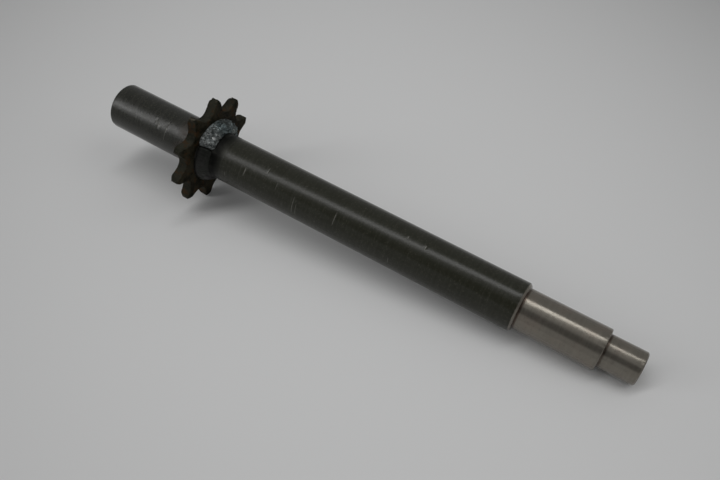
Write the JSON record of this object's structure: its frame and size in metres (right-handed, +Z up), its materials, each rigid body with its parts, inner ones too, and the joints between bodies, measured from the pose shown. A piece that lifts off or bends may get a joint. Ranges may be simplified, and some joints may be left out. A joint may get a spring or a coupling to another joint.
{
  "type": "sprocket shaft",
  "caption": "Stepped steel drive shaft with a small roller chain sprocket welded on near its plain end; bare turned bearing seats at the other end.",
  "frame": {"origin": "centre of the shaft's plain end face", "axes": "+X along the shaft towards its stepped end; +Z up through the middle of a tooth space, so that the sprocket stands on two teeth; +Y completes the right-handed frame"},
  "size_m": [0.2307, 0.0458, 0.0436],
  "materials": {
    "shaft_steel": "dark oxide skin with fine turning marks on the body, bare bright turned steel on the two stepped seats",
    "sprocket_steel": "dark brown-black, rusty and pitted, with a few bare bright spots on the tooth tips",
    "weld_metal": "lumpy bright silver-blue weld",
    "weld_metal_smooth": "smooth grey weld with a blue-violet heat tint"
  },
  "bodies": {
    "root": {"shaft": "shaft_steel", "sprocket": "sprocket_steel", "weld_bead_upper": "weld_metal", "weld_bead_lower": "weld_metal_smooth"}
  },
  "joints": []
}
